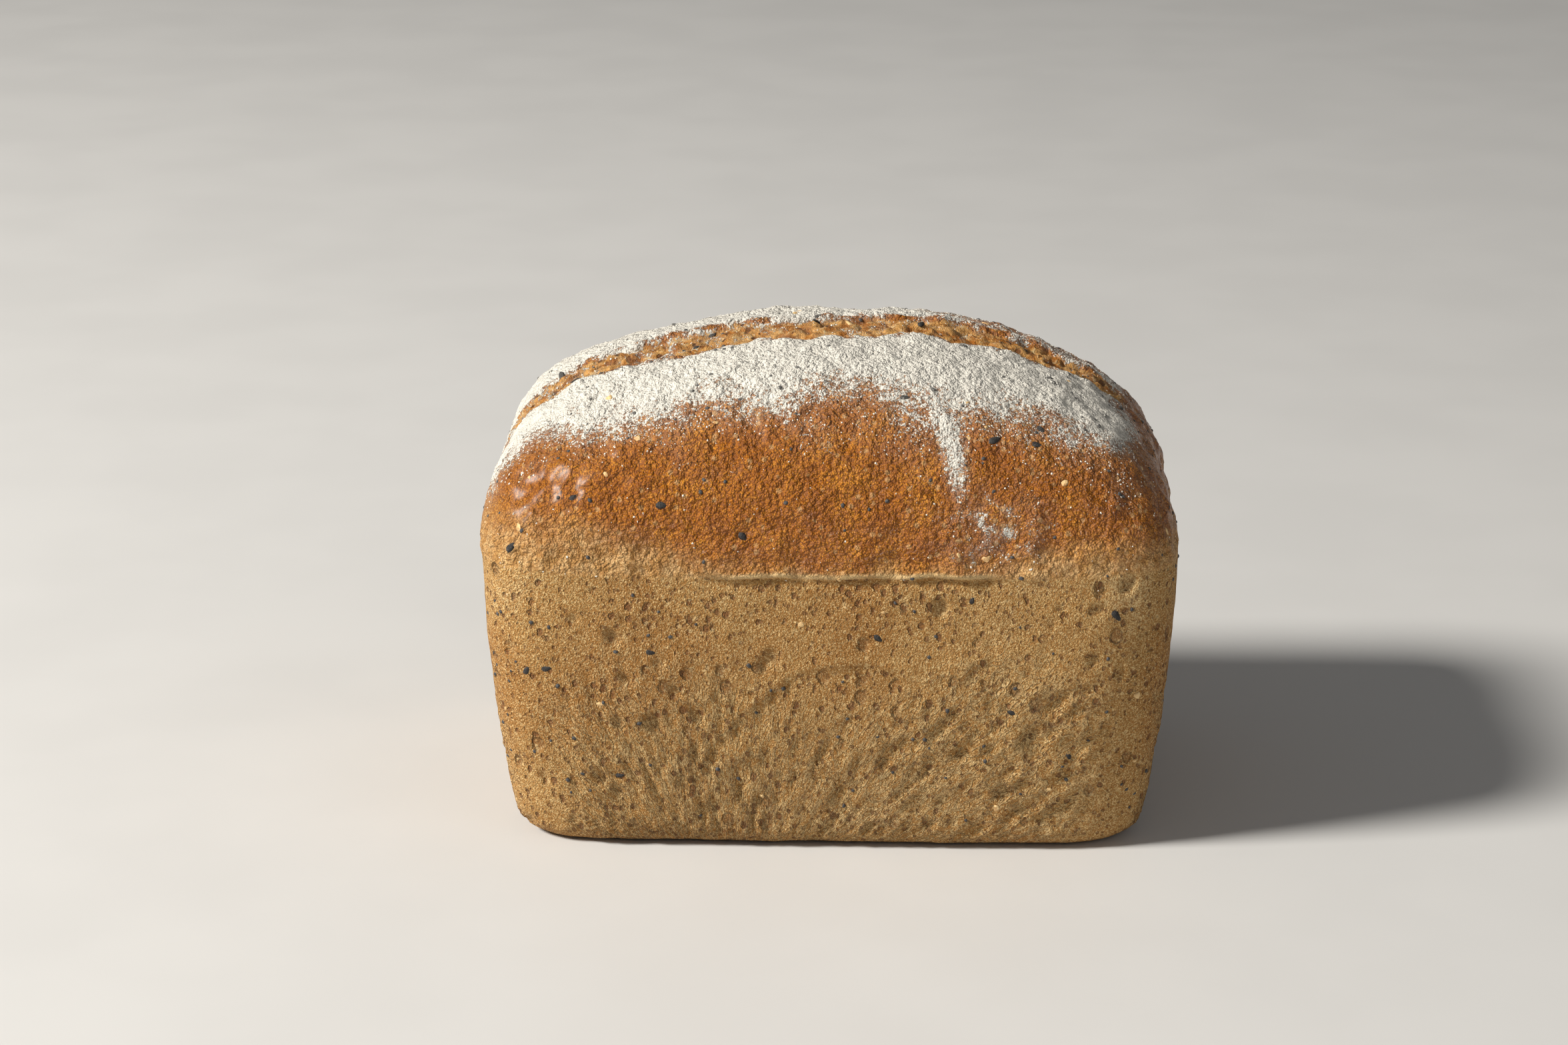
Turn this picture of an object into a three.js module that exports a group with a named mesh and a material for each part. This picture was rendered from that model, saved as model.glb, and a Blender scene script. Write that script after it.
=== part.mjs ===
// A seeded tin loaf, baked as one piece: the lower crust has the shape of the tin's tapered
// inside, and above the rim the dough rises into a rounded crown with one long slash.
//
// Millimetres, +X along the loaf, -Y the front, +Z up. The origin is at the middle of the
// flat base that the loaf stands on.
import * as THREE from "three";
import { mergeVertices } from "three/addons/utils/BufferGeometryUtils.js";

// The tin's inside, which the lower crust copied.
const tin = {
  baseLength: 153, // between the end walls, at the floor
  baseDepth: 98, // between the long walls, at the floor
  rimHeight: 72, // where the dough rose clear of the tin
  endSpread: 7.5, // how far each end wall leans out by the rim
  sideSpread: 8, // how far each long wall leans out by the rim
  wallCurve: 1.8, // 1 is a straight wall: higher leans most near the floor
  floorRadius: 5, // rounding where the walls meet the floor
  squareness: 8, // superellipse exponent of the plan: higher is squarer
};

// The crown above the rim, whose plan rounds off as it rises.
const crown = {
  rise: 46.5, // from the rim to the highest point of the crest
  squareness: 2.4, // superellipse exponent of the plan at the very top
  leftFullness: 4.2, // how long the crest stays high towards the left end
  rightFullness: 2.2, // and towards the right end
  sideFullness: 3.2, // and across the loaf, towards its long sides
  shoulder: 2.1, // how sharply the shoulders turn down to the walls
  leftDrop: 0.1, // share of the rise by which the left half lies lower
  leftDropRun: 60, // distance along the loaf over which it drops
};

// The baker's slash, which opened along the crest in the oven.
const slash = {
  length: 156, // from end to end
  width: 20, // from lip to lip at its widest place
  depth: 2.6, // of its bed, just inside the lips
  bedRise: 1.6, // how much higher the torn bed stands along its middle
  widestAt: 12, // where along the loaf it is widest
  offset: 1, // how far behind the middle of the loaf it passes
  skew: 0.12, // how far it runs back for each millimetre along +X
};

// Shares of the crown's rise between which the slash runs out down the end walls.
const SLASH_FADES = { from: 0.3, to: 0.6 };

// Faces of the surface grid along, across and up the loaf.
const grid = { along: 36, across: 42, up: 18 };
const GRID_CROWDING = 0.35; // share by which the rows close up along the middle, for the slash
const HALVINGS = 40; // of the search for the crust, finer than 32-bit numbers hold
const FLAT_WITHIN = 0.01; // a point this close to the floor lies on it

const { lerp, clamp } = THREE.MathUtils;
const smooth = (from, to, value) => THREE.MathUtils.smoothstep(value, from, to);
const loafHeight = tin.rimHeight + crown.rise;

// The superellipse that a point of the plan lies on: 1 is the outline itself.
function ring(along, across, squareness) {
  return (along ** squareness + across ** squareness) ** (1 / squareness);
}

// Half the plan's length and depth at a height. Above the rim they stay as they are there.
function halfPlan(z) {
  const lean = 1 - (1 - clamp(z / tin.rimHeight, 0, 1)) ** tin.wallCurve;
  const below = clamp(tin.floorRadius - z, 0, tin.floorRadius);
  const inset = tin.floorRadius - Math.sqrt(tin.floorRadius ** 2 - below ** 2);
  return {
    length: tin.baseLength / 2 + tin.endSpread * lean - inset,
    depth: tin.baseDepth / 2 + tin.sideSpread * lean - inset,
  };
}

// How deep the slash cuts into the whole crown at a place on the plan.
function slashDepth(x, y) {
  const run = x < slash.widestAt
    ? slash.length / 2 + slash.widestAt
    : slash.length / 2 - slash.widestAt;
  const along = (x - slash.widestAt) / run;
  if (Math.abs(along) >= 1) return 0;
  const opening = Math.sqrt(1 - along ** 2);
  const middle = slash.offset + slash.skew * x;
  const across = (y - middle) / ((slash.width / 2) * opening);
  if (Math.abs(across) >= 1) return 0;
  const bed = slash.depth - slash.bedRise * (1 - across ** 2);
  return bed * opening * (1 - across ** 6);
}

// Above zero outside the loaf, and below zero inside it.
function outside({ x, y, z }) {
  const half = halfPlan(z);
  const along = Math.abs(x) / half.length;
  const across = Math.abs(y) / half.depth;
  const risen = (z - tin.rimHeight) / crown.rise;
  const cut = slashDepth(x, y) * smooth(SLASH_FADES.from, SLASH_FADES.to, risen);
  const aboveRim = z + cut - tin.rimHeight;
  if (aboveRim <= 0) {
    return Math.max(ring(along, across, tin.squareness) - 1, -z);
  }
  const drop = crown.leftDrop * smooth(0, crown.leftDropRun, -x);
  const level = aboveRim / (crown.rise * (1 - drop));
  const squareness = lerp(tin.squareness, crown.squareness, smooth(0, 1, level));
  const rightShare = smooth(-half.length / 2, half.length / 2, x);
  const endFullness = lerp(crown.leftFullness, crown.rightFullness, rightShare);
  const endPower = along ** squareness;
  const endShare = endPower / Math.max(endPower + across ** squareness, Number.EPSILON);
  const fullness = lerp(crown.sideFullness, endFullness, endShare);
  return ring(along, across, squareness) ** fullness + level ** crown.shoulder - 1;
}

// The point of the crust in a direction from the middle of the loaf.
function crustPoint(direction) {
  const middle = new THREE.Vector3(0, 0, loafHeight / 2);
  const point = new THREE.Vector3();
  let inner = 0;
  let outer = 2;
  for (let i = 0; i < HALVINGS; i += 1) {
    const reach = (inner + outer) / 2;
    point.copy(middle).addScaledVector(direction, reach);
    if (outside(point) > 0) outer = reach;
    else inner = reach;
  }
  if (point.z < FLAT_WITHIN) point.z = 0;
  return point;
}

// A closed box of faces, with each corner moved out to the crust.
function loafGeometry() {
  const box = new THREE.BoxGeometry(2, 2, 2, grid.along, grid.across, grid.up);
  box.deleteAttribute("normal");
  box.deleteAttribute("uv");
  const geometry = mergeVertices(box);
  const corners = geometry.getAttribute("position");
  const rim = halfPlan(tin.rimHeight);
  const reach = new THREE.Vector3(rim.length, rim.depth, loafHeight / 2);
  const corner = new THREE.Vector3();
  for (let i = 0; i < corners.count; i += 1) {
    corner.fromBufferAttribute(corners, i);
    corner.y *= 1 - GRID_CROWDING * (1 - corner.y ** 2);
    const { x, y, z } = crustPoint(corner.multiply(reach));
    corners.setXYZ(i, x, y, z);
  }
  geometry.computeVertexNormals();
  return geometry;
}

const crust = new THREE.MeshStandardMaterial({ color: 0xb98247, roughness: 0.75, metalness: 0 });
const loaf = new THREE.Mesh(loafGeometry(), crust);
loaf.name = "loaf";

const tinLoaf = new THREE.Group();
tinLoaf.add(loaf);

export default tinLoaf;
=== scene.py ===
"""A seeded tin loaf, dusted with flour, with one long slash along its crest.

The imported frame's plain solid gives the loaf its shape. This script models the crust over it,
with its pits, tin line and torn slash, and adds the seeds, the bran flakes, the flour and the
stage. It is laid out as an add-on, and run as a script it makes everything in order.
"""
import math
import random

import bmesh
import bpy
import numpy as np
from bpy.props import FloatProperty, FloatVectorProperty, IntProperty, PointerProperty
from mathutils import Matrix, Vector, noise
from mathutils.bvhtree import BVHTree
from mathutils.kdtree import KDTree


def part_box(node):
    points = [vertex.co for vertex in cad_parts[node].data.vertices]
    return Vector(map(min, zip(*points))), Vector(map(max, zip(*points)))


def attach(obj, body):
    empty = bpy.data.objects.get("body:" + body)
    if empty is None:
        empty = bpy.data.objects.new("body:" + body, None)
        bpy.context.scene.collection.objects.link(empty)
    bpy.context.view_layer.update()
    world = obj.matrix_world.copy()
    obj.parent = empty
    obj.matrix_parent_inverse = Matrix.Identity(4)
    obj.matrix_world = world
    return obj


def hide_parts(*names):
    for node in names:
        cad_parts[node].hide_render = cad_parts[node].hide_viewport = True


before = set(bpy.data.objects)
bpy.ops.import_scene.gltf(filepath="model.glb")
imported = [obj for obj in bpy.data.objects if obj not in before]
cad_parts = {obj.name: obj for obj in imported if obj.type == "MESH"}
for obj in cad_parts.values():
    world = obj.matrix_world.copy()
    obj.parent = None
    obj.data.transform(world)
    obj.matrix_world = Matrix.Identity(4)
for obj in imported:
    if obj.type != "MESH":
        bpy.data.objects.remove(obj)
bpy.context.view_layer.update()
LOAF_LOW, LOAF_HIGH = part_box("loaf")

bl_info = {
    "name": "Seeded tin loaf",
    "version": (1, 0, 0),
    "blender": (4, 5, 0),
    "location": "3D View > Sidebar > Loaf",
    "description": "Bakes a floured, slashed tin loaf with seeds in its crust",
    "category": "Object",
}

MM = 0.001
BAKE_MAP = "OFBake"
MIDDLE = (LOAF_LOW + LOAF_HIGH) / 2
HALF = (LOAF_HIGH - LOAF_LOW) / 2


def length(name, description, millimetres):
    """A length setting, given in millimetres and kept in metres."""
    return FloatProperty(
        name=name, description=description, default=millimetres * MM, min=0, unit="LENGTH"
    )


def colour(name, description, *rgb):
    """A colour setting, as linear red, green and blue."""
    return FloatVectorProperty(
        name=name, description=description, default=rgb, min=0, max=1, size=3, subtype="COLOR"
    )


# Sizes and colours


class CrustSizes(bpy.types.PropertyGroup):
    """The shape of the crust's relief."""

    tin_line: length("Tin line", "Height at which the dough rose clear of the tin", 72)
    line_sway: length("Tin line sway", "How far the tin line strays up and down", 1.1)
    line_lip: length("Tin line lip", "How far the crown stands proud just above the tin line", 0.65)
    line_crease: length("Tin line crease", "Depth of the crease along the tin line", 0.6)
    swell: length("Crown swell", "Height of the crown's broad, soft swells", 0.9)
    dimples: length("Crown dimples", "Height of the crown's small bumps and dimples", 0.7)
    webbing: length("Wall webbing", "Height of the strands that the tin pulled on the walls", 0.45)
    pit_depth: length("Pit depth", "Depth of the largest pits in the walls", 1.35)
    pit_length: length("Pit length", "Length of the largest pits in the walls", 6)
    pits: IntProperty(name="Pits", description="Number of pits in the walls", default=190, min=0)
    foot_wear: length("Foot roughness", "How uneven the crust is round the foot of the loaf", 0.5)


class SlashSizes(bpy.types.PropertyGroup):
    """The slash along the crest, as the solid has it, and the relief of its torn bed."""

    run: length("Length", "Length of the slash from end to end", 156)
    width: length("Width", "Width from lip to lip at the widest place", 20)
    widest_at: length("Widest at", "How far along from the middle of the loaf it is widest", 12)
    offset: length("Offset", "How far behind the middle of the loaf it passes", 1)
    skew: FloatProperty(
        name="Skew", description="How far it runs back for each metre along the loaf", default=0.12
    )
    past_end: length("Past the end", "How much further the tear runs at the left end", 9)
    run_down: FloatProperty(
        name="Run down", description="Share of the drop at the left end that counts as length",
        default=0.5,
    )
    lip: length("Lip", "Height of the curled lips over the crust beside them", 1.2)
    gutter: length("Gutter", "Depth of the gutter just inside each lip", 1.3)
    tear: length("Tear", "Height of the torn bed's roughness", 1.4)
    holes: IntProperty(name="Holes", description="Number of holes in the bed", default=46, min=0)


class FlourSizes(bpy.types.PropertyGroup):
    """Where the flour lies and how thick it is."""

    reach: length("Reach", "How far down each side of the crest the flour reaches", 42)
    fade: length("Fade", "Width of the ragged edge of the flour", 24)
    thickness: length("Thickness", "Thickness of the flour where it lies thickest", 0.45)
    grains: IntProperty(
        name="Grains", description="Number of separate clots of flour", default=7000, min=0
    )
    grain: length("Grain", "Width of the largest clots of flour", 0.8)


class SeedSizes(bpy.types.PropertyGroup):
    """The seeds and flakes in the crust."""

    sesame: length("Sesame", "Length of a black sesame seed", 3.2)
    sesame_strewn: IntProperty(
        name="Strewn sesame", description="Number of sesame seeds besides the chosen ones",
        default=34, min=0,
    )
    poppy: length("Poppy", "Width of a poppy seed", 1.3)
    poppy_strewn: IntProperty(
        name="Poppy seeds", description="Number of poppy seeds", default=430, min=0
    )
    flake: length("Flake", "Length of a bran flake", 2.2)
    flakes_strewn: IntProperty(
        name="Bran flakes", description="Number of bran flakes", default=80, min=0
    )


class LoafColours(bpy.types.PropertyGroup):
    """The colours of the crust, the seeds and the flour."""

    amber: colour("Amber", "The open crust where it is lightest", 0.66, 0.26, 0.016)
    # chestnut: the crust's darkest browning, and also the painted shade in the gaps between the
    # crown's blisters
    chestnut_and_shade: colour("Chestnut", "The open crust where it is darkest", 0.2, 0.055, 0.006)
    honey: colour("Honey", "The open crust between the two", 0.45, 0.145, 0.004)
    sand: colour("Sand", "The matte crust of the walls", 0.54, 0.325, 0.112)
    # toast: the walls' strongest browning, and also the painted shade in the blister gaps, between
    # the wall strands and in the tin line's crease
    toast_and_shade: colour("Toast", "The walls where they browned most", 0.37, 0.165, 0.036)
    # cream: the walls' palest crust, and also the painted highlight on the wall strands, on the tin
    # line's lip and on the points of the torn bed
    cream_and_highlight: colour("Cream", "The walls where they stayed palest", 0.88, 0.63, 0.3)
    crumb: colour("Crumb", "The crumb that shows inside the pits", 0.46, 0.32, 0.16)
    torn: colour("Torn crumb", "The torn bed of the slash", 0.72, 0.37, 0.1)
    # painted shade: this colour darkens the hollows and holes of the torn bed and the pores of the
    # walls
    hollow_shade: colour("Hollow_shade", "The edges and hollows of the slash", 0.17, 0.055, 0.015)
    flour: colour("Flour", "The dusting of flour", 0.9, 0.86, 0.76)
    sesame: colour("Black sesame", "The sesame seeds", 0.015, 0.013, 0.012)
    poppy: colour("Poppy", "The poppy seeds", 0.05, 0.048, 0.047)
    bran: colour("Bran", "The bran flakes", 0.6, 0.36, 0.15)
    floor: colour("Floor", "The studio floor", 0.66, 0.65, 0.63)


class StageSizes(bpy.types.PropertyGroup):
    """The camera and the lights."""

    azimuth: FloatProperty(
        name="Camera azimuth", description="Turn of the camera towards the right end",
        default=math.radians(1.6), subtype="ANGLE",
    )
    elevation: FloatProperty(
        name="Camera elevation", description="How far the camera looks down",
        default=math.radians(17.9), subtype="ANGLE",
    )
    distance: length("Camera distance", "Distance from the camera to what it looks at", 874.9)
    lens: FloatProperty(name="Lens", description="Focal length in millimetres", default=80)
    aim_left: length("Aim left", "How far left of the loaf's middle the camera looks", 11.9)
    aim_up: length("Aim up", "Height at which the camera looks", 67.5)
    floor_width: length("Floor width", "Width of the square floor", 6000)
    key_power: FloatProperty(name="Key light", description="Power of the key light", default=112)
    fill_power: FloatProperty(name="Fill light", description="Power of the fill light", default=1.8)
    sky_power: FloatProperty(name="Sky", description="Strength of the even light", default=0.14)


# Reading fields over the surface


def smooth(low, high, value):
    """0 below low and 1 above high, with a soft rise between them."""
    t = np.clip((value - low) / (high - low), 0, 1)
    return t * t * (3 - 2 * t)


def hump(value, width):
    """1 where the value is 0, falling away on both sides over the width."""
    return np.exp(-((value / width) ** 2))


SEED_SHIFT = Vector((17.3, 5.1, 29.7))  # moves one seed's noise well away from the next one's


def lumps(places, size, seed, octaves=2):
    """Noise from about -1 to 1 at each place, with lumps of the given size."""
    shift = SEED_SHIFT * seed
    return np.array(
        [noise.fractal(Vector(p) / size + shift, 1.0, 2.0, octaves) for p in places.tolist()]
    )


LEFT_SHOULDER_X = -60 * MM  # where the crest starts to turn down to the left end
LEFT_SHOULDER_Z = 96 * MM  # and its height there
LONGEST_DROP = 20 * MM  # below there that the tear can follow


def slash_place(sizes, places):
    """Where each place lies on the slash, and how wide the slash opens there.

    Along it, the ends are -1 and 1. Across it, the lips are -1 and 1.
    """
    x, y, z = places.T
    drop = np.clip(LEFT_SHOULDER_Z - z, 0, LONGEST_DROP)
    x = x - np.where(x < LEFT_SHOULDER_X, sizes.run_down * drop, 0)
    behind = sizes.run / 2 + sizes.widest_at + sizes.past_end
    ahead = sizes.run / 2 - sizes.widest_at
    along = (x - sizes.widest_at) / np.where(x < sizes.widest_at, behind, ahead)
    opening = np.sqrt(np.clip(1 - np.abs(along) ** 3, 1e-4, 1))
    across = (y - sizes.offset - sizes.skew * x) / (sizes.width / 2 * opening)
    return along, across, opening


# Modelling the crust

GRID = (176, 116, 100)  # faces of the crust's surface along, across and up the loaf
LINE_CROWDING = 0.22  # how much closer the rows lie at the tin line
SMOOTHING_ROUNDS = 8


def cut_box(counts):
    """A closed box, 2 wide each way, with each face cut into a grid."""
    box = bmesh.new()
    bmesh.ops.create_cube(box, size=2)
    for axis, count in enumerate(counts):
        edges = [e for e in box.edges if abs(e.verts[0].co[axis] - e.verts[1].co[axis]) > 1]
        bmesh.ops.subdivide_edges(box, edges=edges, cuts=count - 1, use_grid_fill=True)
    return box


def wrap_on_solid(box, line):
    """Moves each corner of the box out to the solid, with more rows near the tin line."""
    solid = BVHTree.FromPolygons(
        [v.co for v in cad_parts["loaf"].data.vertices],
        [tuple(p.vertices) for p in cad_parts["loaf"].data.polygons],
    )
    line_at = line / HALF.z - 1
    for v in box.verts:
        x, y, z = v.co
        z -= LINE_CROWDING * (z - line_at) * (1 - z * z)
        way = Vector((x * HALF.x, y * HALF.y, z * HALF.z))
        v.co = solid.ray_cast(MIDDLE, way)[0]
    for _ in range(SMOOTHING_ROUNDS):
        bmesh.ops.smooth_vert(
            box, verts=box.verts, factor=0.5, use_axis_x=True, use_axis_y=True, use_axis_z=True
        )


def corners_and_normals(box):
    """The places and normals of the mesh's corners, as arrays."""
    box.normal_update()
    places = np.array([v.co[:] for v in box.verts])
    normals = np.array([v.normal[:] for v in box.verts])
    return places, normals


FAN_LEFT = -24 * MM  # how far from each wall's middle its strands fan out from
FAN_BELOW = 30 * MM  # and how far below the floor
FAN_REACH = 80 * MM  # distance from there at which the strands have their stated widths


def tin_line_height(sizes, places):
    """Height of the tin line round the loaf, which sways a little."""
    flat = places * (1, 1, 0)
    sway = lumps(flat, 34 * MM, 3) + 0.45 * lumps(flat, 7 * MM, 4)
    return sizes.tin_line + sizes.line_sway * sway


def line_strength(places):
    """How sharp the ledge along the tin line is: sharpest along the middle of the front."""
    flat = places * (1, 1, 0)
    patchy = np.clip(0.15 + 0.7 * lumps(flat, 26 * MM, 12), 0.04, 0.7)
    patchy = patchy * np.where(places[:, 1] < 0, 0.4, 1)
    front = (places[:, 1] < 0) * smooth(-34 * MM, -18 * MM, places[:, 0])
    front = front * smooth(46 * MM, 34 * MM, places[:, 0])
    broken = np.clip(0.85 + 0.7 * lumps(flat, 6 * MM, 13), 0.3, 1.1)
    return (patchy * (1 - front) + front) * broken


def add_pits(sizes, places, normals, leans, wall, relief, hollow):
    """Presses long round-bottomed pits into the walls."""
    rng = random.Random(41)
    tree = KDTree(len(places))
    for i, place in enumerate(places):
        tree.insert(place, i)
    tree.balance()
    on_wall = np.nonzero((wall > 0.9) & (places[:, 2] > 3 * MM))[0]
    for _ in range(sizes.pits):
        at = int(on_wall[rng.randrange(len(on_wall))])
        centre, out = Vector(places[at]), Vector(normals[at])
        size = rng.random() ** 2.2
        half_long = sizes.pit_length / 2 * (0.5 + 0.5 * size)
        half_short = half_long * rng.uniform(0.42, 0.85)
        depth = sizes.pit_depth * (0.3 + 0.7 * size) * rng.uniform(0.6, 1)
        lean = leans[at] + rng.gauss(0, 0.35)
        side = Vector((0, 0, 1)).cross(out).normalized()
        up = out.cross(side)
        long_way = up * math.cos(lean) + side * math.sin(lean)
        short_way = out.cross(long_way)
        reach = half_long * 1.5
        for co, i, _gap in tree.find_range(centre, reach):
            away = co - centre
            r = math.hypot(away.dot(long_way) / half_long, away.dot(short_way) / half_short)
            if r < 1:
                bowl = (1 - r**3) * depth
                relief[i] = min(relief[i], -bowl)
                hollow[i] = max(hollow[i], min(1, bowl / (1.2 * MM)))


def strand_places(places):
    """Places round, along and off the strands, which fan out over each wall from below it.

    Comes with how far the strands lean from upright, and a share that fades to 0 at the corners.
    """
    x, y, z = places.T
    u, v = np.abs(x) / HALF.x, np.abs(y) / HALF.y
    along = np.where(v >= u, -x * np.sign(y), y * np.sign(x))
    lean = np.arctan2(along - FAN_LEFT, z + FAN_BELOW)
    inward = smooth(0.02, 0.3, 1 - np.minimum(u, v) / np.maximum(u, v))
    strands = np.stack([lean * FAN_REACH, np.hypot(along - FAN_LEFT, z + FAN_BELOW),
                        np.where(v >= u, 0.0, FAN_REACH)], axis=1)
    return strands, lean, inward


ARCH_X = 4 * MM  # where along the front the arched step is highest
ARCH_TOP = 50 * MM  # and its height there


def arch_step(places):
    """A low arched step on the lower front, where the crumb below the arch lies a bit deeper."""
    x, y, z = places.T
    from_top = np.where(x < ARCH_X, ((ARCH_X - x) / (22 * MM)) ** 2 * 11 * MM,
                        (np.abs(x - ARCH_X) / (29 * MM)) ** 3 * 21 * MM)
    under = ARCH_TOP - from_top + 0.9 * MM * lumps(places, 5 * MM, 9) - z
    step = smooth(-0.3 * MM, 0.9 * MM, under) * smooth(11 * MM, 1 * MM, under)
    ridge = hump(under + 0.8 * MM, 1.1 * MM)
    return (y < 0) * smooth(14 * MM, 24 * MM, z) * (0.2 * MM * ridge - 0.3 * MM * step)


FLAT_WITHIN = 0.05 * MM  # a corner this close to the floor stays on it


def crust_relief(crust, slash, places, normals):
    """How far each corner moves out, and the fields that the crust's finish reads."""
    x, y, z = places.T
    line = tin_line_height(crust, places)
    above = z - line
    to_ends = np.where(x < 0, smooth(-18 * MM, -55 * MM, x), 0.6 * smooth(35 * MM, 62 * MM, x))
    to_ends = np.where(y < 0, to_ends, 0.5 + 0.5 * lumps(places, 40 * MM, 19))
    blur = 1 + 3 * np.clip(to_ends, 0, 1)
    wall = smooth(1.0 * MM * blur, -0.6 * MM * blur, above)
    foot = 1 - smooth(1.5 * MM, 7 * MM, z)
    base = smooth(0.35, 0.9, -normals[:, 2])

    relief = np.zeros(len(places))
    hollow = np.zeros(len(places))
    strand_at, lean, inward = strand_places(places)
    add_pits(crust, places, normals, lean, wall, relief, hollow)
    webbed = inward * smooth(56 * MM, 28 * MM, z + 16 * MM * lumps(places, 30 * MM, 5))
    strands = 1 - 2.6 * np.abs(lumps(strand_at * (1, 0.28, 1), 2.9 * MM, 8, 2))
    relief += wall * (1 - base) * crust.webbing * webbed * strands
    relief += wall * 0.3 * MM * lumps(places, 9 * MM, 6, 3)
    relief += wall * (1 - base) * arch_step(places)

    strength = line_strength(places)
    pale_to = (2 + 5 * to_ends) * MM + 3 * MM * lumps(places, 8 * MM, 20, 3)
    paling = smooth(pale_to + (4 + 7 * to_ends) * MM, pale_to - 4 * MM, above)
    relief += crust.line_lip * strength * hump(above - 1.1 * MM, 1.1 * MM)
    relief -= crust.line_crease * strength * hump(above + 0.7 * MM, 0.9 * MM)

    open_crust = 1 - wall
    relief += open_crust * crust.swell * lumps(places, 24 * MM, 1)
    relief += open_crust * crust.dimples * lumps(places, 6 * MM, 2, 3)
    folds = 1 - 2.6 * np.abs(lumps(places * (0.5, 1, 1), 8 * MM, 10, 2))
    relief += open_crust * smooth(24 * MM, 4 * MM, above) * 0.4 * MM * folds

    on_top = smooth(0.08, 0.4, normals[:, 2]) * smooth(9 * MM, 14 * MM, above)
    torn = tear_open(slash, places, on_top, relief)
    tear_holes(slash, places, torn, relief, hollow)

    relief += foot * (1 - base) * crust.foot_wear * lumps(places, 4 * MM, 18, 3)
    relief[z < FLAT_WITHIN] = 0
    return relief, {"wall": wall, "torn": torn, "hollow": hollow, "above": above,
                    "ledge": strength, "paling": paling, "webbed": webbed,
                    "strands": strand_at}


def tear_open(slash, places, on_top, relief):
    """Raises the curled lips and roughens the bed between them. Returns where the bed is."""
    along, across, opening = slash_place(slash, places)
    ragged = across + 0.14 * lumps(places, 5 * MM, 14, 3) + 0.16 * lumps(places, 13 * MM, 17)
    torn = on_top * (1 - smooth(0.86, 1.0, np.abs(ragged)))
    torn = torn * smooth(0.95, 0.9, along) * smooth(-0.995, -0.97, along)
    curl = 0.6 + 0.5 * lumps(places, 12 * MM, 15) + 0.3 * lumps(places, 3.5 * MM, 11)
    relief += on_top * slash.lip * curl * opening * hump(np.abs(ragged) - 1.1, 0.13)
    relief -= torn * slash.gutter * opening * hump(np.abs(ragged) - 0.84, 0.12)
    relief += torn * slash.tear * lumps(places * (1, 1.7, 1), 3.4 * MM, 16, 3)
    return torn


def tear_holes(slash, places, torn, relief, hollow):
    """Opens long shallow holes along the slash's torn bed."""
    rng = random.Random(7)
    for _ in range(slash.holes):
        at = rng.uniform(-0.9, 0.9)
        behind = slash.run / 2 + (slash.widest_at if at < 0 else -slash.widest_at)
        x = slash.widest_at + at * behind
        opening = math.sqrt(1 - at * at)
        y = slash.offset + slash.skew * x
        y += rng.uniform(-0.72, 0.72) * slash.width / 2 * opening
        half_long, half_short = rng.uniform(1.4, 3.6) * MM, rng.uniform(0.7, 1.3) * MM
        r = np.hypot((places[:, 0] - x) / half_long, (places[:, 1] - y) / half_short)
        bowl = torn * np.clip(1 - r**2, 0, 1)
        relief -= bowl * 1.5 * MM
        np.maximum(hollow, bowl, out=hollow)


STREAK_X = 28.5 * MM  # where the flour that slid down the front lies
SPATTER_X = 39 * MM  # and where grains of it scattered below
SPATTER_ABOVE = 12 * MM  # the tin line


def streak_cover(places, above):
    """Flour that slid down the front from the edge of the dusting, in a leaning streak."""
    x, y, _z = places.T
    width = 2.4 * MM + 0.33 * np.clip(y + 54 * MM, 0, 12 * MM)
    streak = hump(x - STREAK_X + 0.3 * (y + 47 * MM), width) * smooth(-57, -52, y / MM)
    return streak * smooth(-36 * MM, -43 * MM, y) * smooth(14 * MM, 20 * MM, above)


def spatter_cover(places, above):
    """Flour scattered below the streak."""
    x, y, _z = places.T
    spatter = hump(x - SPATTER_X, 12 * MM) * hump(above - SPATTER_ABOVE, 9 * MM) * (y < 0)
    return (0.4 + 0.5 * lumps(places, 4 * MM, 28, 2)) * spatter


def flour_cover(sizes, slash, places, normals, fields):
    """How much flour lies at each place, 0 to 1."""
    x, y, _z = places.T
    _along, across, _opening = slash_place(slash, places)
    reach = sizes.reach - 6 * MM * smooth(40 * MM, 84 * MM, -x)
    reach = reach + 5 * MM * lumps(places, 18 * MM, 21, 2) + 3 * MM * lumps(places, 5 * MM, 22, 2)
    edge = np.clip((reach + sizes.fade * 0.4 - np.abs(y)) / sizes.fade, 0, 1)
    cover = edge * smooth(0.05, 0.5, normals[:, 2]) * smooth(4 * MM, 16 * MM, fields["above"])
    cover *= 0.93 + 0.16 * lumps(places, 9 * MM, 23, 2)
    cover *= smooth(80 * MM, 66 * MM, x + 5 * MM * lumps(places, 12 * MM, 27, 2))
    cover *= 1 - 0.5 * smooth(0, 40 * MM, x) * smooth(13 * MM, 22 * MM, y)
    cover = np.maximum(cover, 0.68 * streak_cover(places, fields["above"]))
    cover = np.maximum(cover, spatter_cover(places, fields["above"]))
    in_bed = 0.25 - 0.15 * smooth(5 * MM, 30 * MM, x) + 0.36 * lumps(places, 3.6 * MM, 24, 2)
    lip = hump(np.abs(across) - 1.05, 0.16)
    lip *= np.clip(0.5 + 0.7 * lumps(places, 6 * MM, 25, 2), 0, 1)
    cover = cover * (1 - fields["torn"]) * (1 - lip) + fields["torn"] * np.clip(in_bed, 0, 1)
    return np.clip(cover, 0, 1)


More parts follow.
